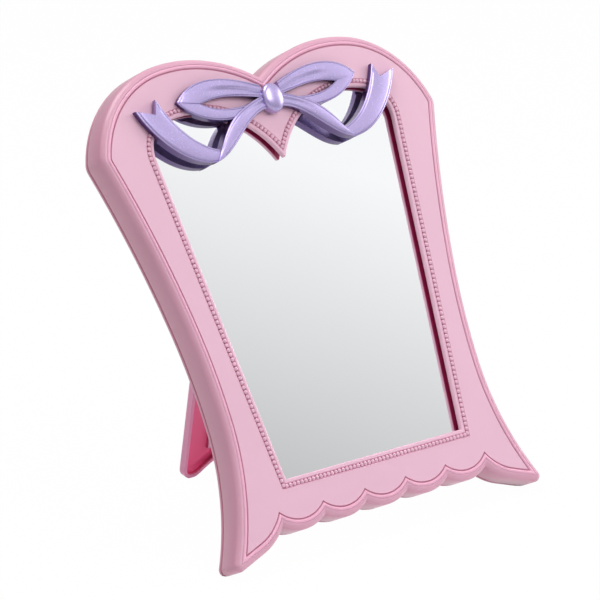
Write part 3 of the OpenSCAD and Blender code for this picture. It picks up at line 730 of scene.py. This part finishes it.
def make_leg(material):
    """The easel leg: the moulded trough with its edges softened, and painted shade on its floor. A
    point's distance from the leg's plane is y cos + z sin of the tilt, from the pin."""
    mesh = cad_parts["easel_leg"].data.copy()
    mesh.name = "leg_moulding"
    bm = bmesh.new()
    bm.from_mesh(mesh)
    bmesh.ops.remove_doubles(bm, verts=bm.verts, dist=1e-6)
    bmesh.ops.dissolve_limit(bm, angle_limit=math.radians(1), verts=bm.verts, edges=bm.edges)
    bm.to_mesh(mesh)
    bm.free()
    low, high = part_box("hinge_pin")
    _, y, z = vertex_places(mesh).T
    y, z = y - (low[1] + high[1]) / 2, z - (low[2] + high[2]) / 2
    off = (y * math.cos(LEG_TILT) + z * math.sin(LEG_TILT)) / MM
    # Painted shade: the trough's floor below the head goes to the deep raspberry tone.
    set_painted_shade(mesh, (np.abs(off - LEG_FLOOR) < LEG_FLOOR_NEAR) & (z < -LEG_HEAD * MM))
    mesh.materials.clear()
    mesh.materials.append(material)
    mesh.shade_smooth()
    mesh.set_sharp_from_angle(angle=math.radians(40))
    obj = placed("leg_moulding", mesh)
    bevel = obj.modifiers.new("Soft edges", "BEVEL")
    bevel.width = LEG_SOFT * MM
    bevel.segments = 3
    bevel.limit_method = "ANGLE"
    bevel.angle_limit = math.radians(35)
    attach(obj, "leg")
    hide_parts("easel_leg")
    return obj


# ---------------------------------------------------------------- materials
GRAIN_DEEP = 0.2  # height of the moulding grain at full strength
COAT_ROUGHNESS = 0.12


def srgb(r, g, b):
    """A colour given as 0 to 255 on screen, as linear values."""
    c = np.array([r, g, b]) / 255
    low = c <= 0.04045
    return tuple(np.where(low, c / 12.92, ((c + 0.055) / 1.055) ** 2.4)) + (1.0,)


def math_node(nodes, links, operation, *values, clamp=False):
    """A Math node's result. Each value is a number, or the socket that feeds it."""
    node = nodes.new("ShaderNodeMath")
    node.operation = operation
    node.use_clamp = clamp
    for socket, value in zip(node.inputs, values):
        if isinstance(value, bpy.types.NodeSocket):
            links.new(value, socket)
        else:
            socket.default_value = value
    return node.outputs[0]


def grain_group():
    """Fine moulding grain: two noises of object coordinates give a height and a slow variation."""
    found = bpy.data.node_groups.get("Moulding grain")
    if found:
        return found
    group = bpy.data.node_groups.new("Moulding grain", "ShaderNodeTree")
    noises = (("Fine scale", 900, 4, "Height"), ("Cloud scale", 25, 3, "Cloud"))
    for scale, usual, _, result in noises:
        socket = group.interface.new_socket(scale, in_out="INPUT", socket_type="NodeSocketFloat")
        socket.default_value = usual
        group.interface.new_socket(result, in_out="OUTPUT", socket_type="NodeSocketFloat")
    nodes, links = group.nodes, group.links
    given, results = nodes.new("NodeGroupInput"), nodes.new("NodeGroupOutput")
    at = nodes.new("ShaderNodeTexCoord")
    for scale, _, detail, result in noises:
        noise = nodes.new("ShaderNodeTexNoise")
        noise.inputs["Detail"].default_value = detail
        links.new(at.outputs["Object"], noise.inputs["Vector"])
        links.new(given.outputs[scale], noise.inputs["Scale"])
        links.new(noise.outputs["Fac"], results.inputs[result])
    return group


def blend_painted_light(nodes, links, factor, below, tone_colour):
    """Mixes a painted shade or painted highlight colour over a colour by a factor. 6 and 7 are the
    node's two colour inputs.
    """
    mix = nodes.new("ShaderNodeMix")
    mix.data_type = "RGBA"
    links.new(factor, mix.inputs["Factor"])
    links.new(below, mix.inputs[6])
    mix.inputs[7].default_value = tone_colour
    return mix.outputs[2]


def dressed(name, light, dark, roughness, spread=0.08, metallic=0.0, coat=0.0, bump=0.05,
            fine=900, cloud=25, painted_shade=None, painted_highlight=None):
    """A material whose colour drifts between two tones and whose surface has a fine grain. The
    mesh's deep attribute paints shade on it with one colour, and a highlight with another where
    it is negative."""
    material = bpy.data.materials.new(name)
    material.use_nodes = True
    nodes, links = material.node_tree.nodes, material.node_tree.links
    skin = nodes["Principled BSDF"]
    grain = nodes.new("ShaderNodeGroup")
    grain.node_tree = grain_group()
    grain.inputs["Fine scale"].default_value = fine
    grain.inputs["Cloud scale"].default_value = cloud

    ramp = nodes.new("ShaderNodeValToRGB")
    for stop, at, colour in zip(ramp.color_ramp.elements, (0.3, 0.7), (dark, light)):
        stop.position = at
        stop.color = colour
    links.new(grain.outputs["Cloud"], ramp.inputs["Fac"])
    colour = ramp.outputs["Color"]
    if painted_shade is not None:
        # Painted shade from the deep attribute, and painted highlight where it is negative.
        deep = nodes.new("ShaderNodeAttribute")
        deep.attribute_name = "deep"
        for tone_colour, sign in ((painted_shade, 1.0), (painted_highlight, -1.0)):
            if tone_colour is not None:
                share = math_node(nodes, links, "MULTIPLY", deep.outputs["Fac"], sign, clamp=True)
                colour = blend_painted_light(nodes, links, share, colour, tone_colour)
    links.new(colour, skin.inputs["Base Color"])

    rough = nodes.new("ShaderNodeMapRange")
    rough.inputs["To Min"].default_value = max(0.0, roughness - spread)
    rough.inputs["To Max"].default_value = roughness + spread
    links.new(grain.outputs["Height"], rough.inputs["Value"])
    links.new(rough.outputs["Result"], skin.inputs["Roughness"])
    relief = nodes.new("ShaderNodeBump")
    relief.inputs["Strength"].default_value = bump
    relief.inputs["Distance"].default_value = GRAIN_DEEP * MM
    links.new(grain.outputs["Height"], relief.inputs["Height"])
    links.new(relief.outputs["Normal"], skin.inputs["Normal"])
    skin.inputs["Metallic"].default_value = metallic
    skin.inputs["Coat Weight"].default_value = coat
    skin.inputs["Coat Roughness"].default_value = COAT_ROUGHNESS
    return material


def tone(colour, factor):
    """A colour made darker or lighter."""
    return tuple(min(1.0, c * factor) for c in colour[:3]) + (1.0,)


def pink_lacquer():
    """Satin pink lacquer over moulded plastic. Its deep colour is painted shade in the grooves,
    recesses and on the walls, and its bright colour a painted highlight on the ridge.
    """
    c = tuple(settings().frame_colour)
    return dressed("Pink lacquer", tone(c, 1.02), tone(c, 0.98), 0.4, coat=0.2, bump=0.03,
                   painted_shade=srgb(176, 34, 90), painted_highlight=srgb(250, 176, 206))


def lilac_pearl():
    """Pearl lilac lacquer on the bow. Its deep colour is painted shade on the ribbon's walls, fine
    lines and underside.
    """
    c = tuple(settings().bow_colour)
    return dressed("Lilac pearl", tone(c, 1.03), tone(c, 0.96), 0.27, spread=0.012, metallic=0.7,
                   coat=0.3, bump=0.003, fine=2600, cloud=60, painted_shade=srgb(80, 48, 114))


def leg_plastic_painted_shade():
    """Moulded pink plastic of the leg, with painted shade: a deeper raspberry on its trough's
    floor.
    """
    c = tuple(settings().leg_colour)
    return dressed("Pink leg plastic, painted shade", tone(c, 1.05), tone(c, 0.95), 0.42, bump=0.05, fine=700,
                   painted_shade=srgb(250, 94, 146))


def silvered_glass():
    """The mirror's face: a clear reflection with the faintest drift."""
    return dressed("Silvered glass", srgb(250, 251, 252), srgb(247, 248, 250), 0.012, spread=0.006,
                   metallic=1.0, bump=0.0, fine=40, cloud=6)


def plated_steel(name="Plated steel", grey=190):
    """Zinc-plated or spring steel, between a grey and a slightly darker one."""
    return dressed(name, srgb(grey, grey, grey + 4), srgb(grey - 18, grey - 18, grey - 14), 0.32,
                   metallic=1.0, bump=0.1, fine=1600, cloud=300)


def nylon():
    """Natural nylon of the washers."""
    return dressed("Natural nylon", srgb(232, 228, 218), srgb(220, 215, 204), 0.5,
                   bump=0.08, fine=1200)


def greyboard():
    """Pressed board behind the glass."""
    return dressed("Greyboard", srgb(160, 145, 126), srgb(132, 118, 100), 0.9,
                   bump=0.5, fine=1500, cloud=260)


def lay_material(node, material):
    """Gives a CAD node a finish in place of its plain one."""
    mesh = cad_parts[node].data
    mesh.materials.clear()
    mesh.materials.append(material)


# ---------------------------------------------------------------- settings
class MirrorSettings(bpy.types.PropertyGroup):
    """Sizes and colours that a user would change."""
    bead_pitch: FloatProperty(
        name="Bead pitch", description="Distance from one bead to the next along the row",
        default=0.00227, min=0.0018, max=0.004, subtype="DISTANCE", unit="LENGTH", precision=5)
    frame_colour: FloatVectorProperty(
        name="Frame colour", description="Lacquer of the frame", subtype="COLOR", size=3,
        min=0, max=1, default=srgb(238, 190, 212)[:3])
    bow_colour: FloatVectorProperty(
        name="Bow colour", description="Lacquer of the bow", subtype="COLOR", size=3,
        min=0, max=1, default=srgb(180, 165, 213)[:3])
    leg_colour: FloatVectorProperty(
        name="Leg colour", description="Plastic of the leg", subtype="COLOR", size=3,
        min=0, max=1, default=srgb(240, 164, 198)[:3])
    lamp_power: FloatProperty(
        name="Lamp power", description="Power of the main soft lamp in watts",
        default=9.2, min=0.0, max=100.0)


def settings():
    """The scene's settings of this object."""
    return bpy.context.scene.vanity_mirror


# ---------------------------------------------------------------- operators
class MIRROR_OT_shell(bpy.types.Operator):
    """Makes the front shell with its grooves, lip and beading"""
    bl_idname = "vanity_mirror.shell"
    bl_label = "Frame shell"

    def execute(self, context):
        lacquer = pink_lacquer()
        make_shell(lacquer)
        make_beads(lacquer)
        return {"FINISHED"}


class MIRROR_OT_cover(bpy.types.Operator):
    """Makes the back cover"""
    bl_idname = "vanity_mirror.cover"
    bl_label = "Back cover"

    def execute(self, context):
        make_cover(bpy.data.materials["Pink lacquer"])
        return {"FINISHED"}


class MIRROR_OT_bow(bpy.types.Operator):
    """Makes the bow and its knot"""
    bl_idname = "vanity_mirror.bow"
    bl_label = "Bow"

    def execute(self, context):
        pearl = lilac_pearl()
        make_bow(pearl)
        make_knot(pearl)
        return {"FINISHED"}


class MIRROR_OT_leg(bpy.types.Operator):
    """Makes the easel leg"""
    bl_idname = "vanity_mirror.leg"
    bl_label = "Easel leg"

    def execute(self, context):
        make_leg(leg_plastic_painted_shade())
        return {"FINISHED"}


class MIRROR_OT_finishes(bpy.types.Operator):
    """Gives the glass, the board and the metal parts their finishes"""
    bl_idname = "vanity_mirror.finishes"
    bl_label = "Glass and metal finishes"

    def execute(self, context):
        lay_material("mirror_pane", silvered_glass())
        lay_material("mirror_board", greyboard())
        steel = plated_steel()
        for node in ("hinge_pin", "cover_screws"):
            lay_material(node, steel)
        lay_material("push_nuts", plated_steel("Spring steel", 150))
        lay_material("hinge_washers", nylon())
        return {"FINISHED"}


class MIRROR_OT_stage(bpy.types.Operator):
    """Makes the floor, the lamps, the world and the camera"""
    bl_idname = "vanity_mirror.stage"
    bl_label = "Stage"

    def execute(self, context):
        make_floor()
        make_lamps()
        make_world()
        make_camera()
        return {"FINISHED"}


# ---------------------------------------------------------------- stage
CAMERA_AT = (-845.8 * MM, (-912.1 + SHIFT_Y) * MM, (456.6 + SHIFT_Z) * MM)
CAMERA_TO = (0.6285, 0.7289, -0.2714)  # the direction in which it looks
CAMERA_LENS = 171.12
FLOOR_HW = 6.0  # half the floor's width, in metres
FLOOR_GLOW = 0.985  # share of plain white in what the camera sees of the floor
LAMP_TO = (0, 0, 0.1)
# Each lamp's name, place and width in metres, and share of the main lamp's power.
LAMPS = (("key_lamp", (0.25, -1.15, 1.35), 0.9, 1.0),
         ("right_lamp", (1.35, -0.5, 0.6), 0.6, 0.45),
         ("top_lamp", (-0.25, 0.35, 1.5), 0.8, 1.3))
LIGHT_LEVEL = 0.33  # strength of the world's light
LIGHT_SLOPE = 0.2  # it is this much stronger from straight right, and weaker from the left
BOX_LEAST_X = 0.58  # the soft box fades with x only further right than this
BOX_SLOPE = 1.078  # x times this, plus z, is what the soft box fades with
BOX_RANGE = {"From Min": 1.020, "From Max": 1.142, "To Min": 0.52, "To Max": 0.98}


def seen_directly(nodes, links):
    """1 where the camera or a reflection looks straight at the surface, otherwise 0."""
    path = nodes.new("ShaderNodeLightPath")
    return math_node(nodes, links, "MAXIMUM",
                     path.outputs["Is Camera Ray"], path.outputs["Is Glossy Ray"])


def floor_material():
    """A pale floor that looks white and still takes the object's shadow."""
    material = bpy.data.materials.new("White floor")
    material.use_nodes = True
    nodes, links = material.node_tree.nodes, material.node_tree.links
    skin = nodes["Principled BSDF"]
    skin.inputs["Base Color"].default_value = (0.9, 0.9, 0.9, 1)
    skin.inputs["Roughness"].default_value = 0.9
    skin.inputs["Specular IOR Level"].default_value = 0.1
    glow = nodes.new("ShaderNodeEmission")
    glow.inputs["Strength"].default_value = 1.0
    share = math_node(nodes, links, "MULTIPLY", seen_directly(nodes, links), FLOOR_GLOW)
    mix = nodes.new("ShaderNodeMixShader")
    links.new(share, mix.inputs["Fac"])
    links.new(skin.outputs["BSDF"], mix.inputs[1])
    links.new(glow.outputs["Emission"], mix.inputs[2])
    links.new(mix.outputs["Shader"], nodes["Material Output"].inputs["Surface"])
    return material


def make_floor():
    """A wide pale floor under the object."""
    corners = [(x * FLOOR_HW, y * FLOOR_HW, 0) for x, y in ((-1, -1), (1, -1), (1, 1), (-1, 1))]
    mesh = bpy.data.meshes.new("floor")
    mesh.from_pydata(corners, [], [(0, 1, 2, 3)])
    mesh.materials.append(floor_material())
    floor = placed("floor", mesh)


def make_lamps():
    """A main square soft lamp in front and above, one on the right and one over the back."""
    for name, at, width, share in LAMPS:
        data = bpy.data.lights.new(name, "AREA")
        data.size = width
        data.energy = share * settings().lamp_power
        lamp = placed(name, data)
        lamp.location = at
        lamp.rotation_euler = (Vector(LAMP_TO) - Vector(at)).to_track_quat("-Z", "Y").to_euler()


def make_world():
    """White behind the object, a soft box that fades downwards in reflections, and for light a
    softer level that rises to the right."""
    world = bpy.data.worlds.new("Studio")
    bpy.context.scene.world = world
    world.use_nodes = True
    nodes, links = world.node_tree.nodes, world.node_tree.links
    light, seen = nodes["Background"], nodes.new("ShaderNodeBackground")
    for white in (light, seen):
        white.inputs["Color"].default_value = (1, 1, 1, 1)
    at = nodes.new("ShaderNodeTexCoord")
    part = nodes.new("ShaderNodeSeparateXYZ")
    links.new(at.outputs["Generated"], part.inputs["Vector"])
    x, z = part.outputs["X"], part.outputs["Z"]
    links.new(math_node(nodes, links, "MULTIPLY_ADD", x, LIGHT_SLOPE, LIGHT_LEVEL),
              light.inputs["Strength"])

    fade = nodes.new("ShaderNodeMapRange")
    for socket, value in BOX_RANGE.items():
        fade.inputs[socket].default_value = value
    rightwards = math_node(nodes, links, "MAXIMUM", x, BOX_LEAST_X)
    links.new(math_node(nodes, links, "MULTIPLY_ADD", rightwards, BOX_SLOPE, z),
              fade.inputs["Value"])
    path = nodes.new("ShaderNodeLightPath")
    links.new(math_node(nodes, links, "MAXIMUM", fade.outputs["Result"],
                        path.outputs["Is Camera Ray"]), seen.inputs["Strength"])

    mix = nodes.new("ShaderNodeMixShader")
    links.new(seen_directly(nodes, links), mix.inputs["Fac"])
    links.new(light.outputs["Background"], mix.inputs[1])
    links.new(seen.outputs["Background"], mix.inputs[2])
    links.new(mix.outputs["Shader"], nodes["World Output"].inputs["Surface"])


def make_camera():
    """A long lens from the front left, a little above the object."""
    data = bpy.data.cameras.new("camera")
    data.lens = CAMERA_LENS
    data.sensor_width = 36
    camera = placed("camera", data)
    camera.location = CAMERA_AT
    camera.rotation_euler = Vector(CAMERA_TO).to_track_quat("-Z", "Y").to_euler()
    bpy.context.scene.camera = camera


# ---------------------------------------------------------------- add-on
class MIRROR_PT_panel(bpy.types.Panel):
    """Lists the pieces in the sidebar"""
    bl_label = "Vanity mirror"
    bl_idname = "MIRROR_PT_panel"
    bl_space_type = "VIEW_3D"
    bl_region_type = "UI"
    bl_category = "Mirror"

    def draw(self, context):
        for name in MirrorSettings.__annotations__:
            self.layout.prop(context.scene.vanity_mirror, name)
        for op in OPERATORS:
            self.layout.operator(op.bl_idname)


OPERATORS = (MIRROR_OT_stage, MIRROR_OT_shell, MIRROR_OT_cover, MIRROR_OT_bow, MIRROR_OT_leg,
             MIRROR_OT_finishes)
CLASSES = (MirrorSettings, *OPERATORS, MIRROR_PT_panel)


def register():
    """Adds the classes and the scene's settings."""
    for c in CLASSES:
        bpy.utils.register_class(c)
    bpy.types.Scene.vanity_mirror = PointerProperty(type=MirrorSettings)


def unregister():
    """Takes them away again."""
    del bpy.types.Scene.vanity_mirror
    for c in reversed(CLASSES):
        bpy.utils.unregister_class(c)


def main():
    """Makes every piece in order."""
    register()
    bpy.context.scene.view_settings.view_transform = "Standard"
    for op in OPERATORS:
        getattr(bpy.ops.vanity_mirror, op.bl_idname.split(".")[1])()


if __name__ == "__main__":
    main()
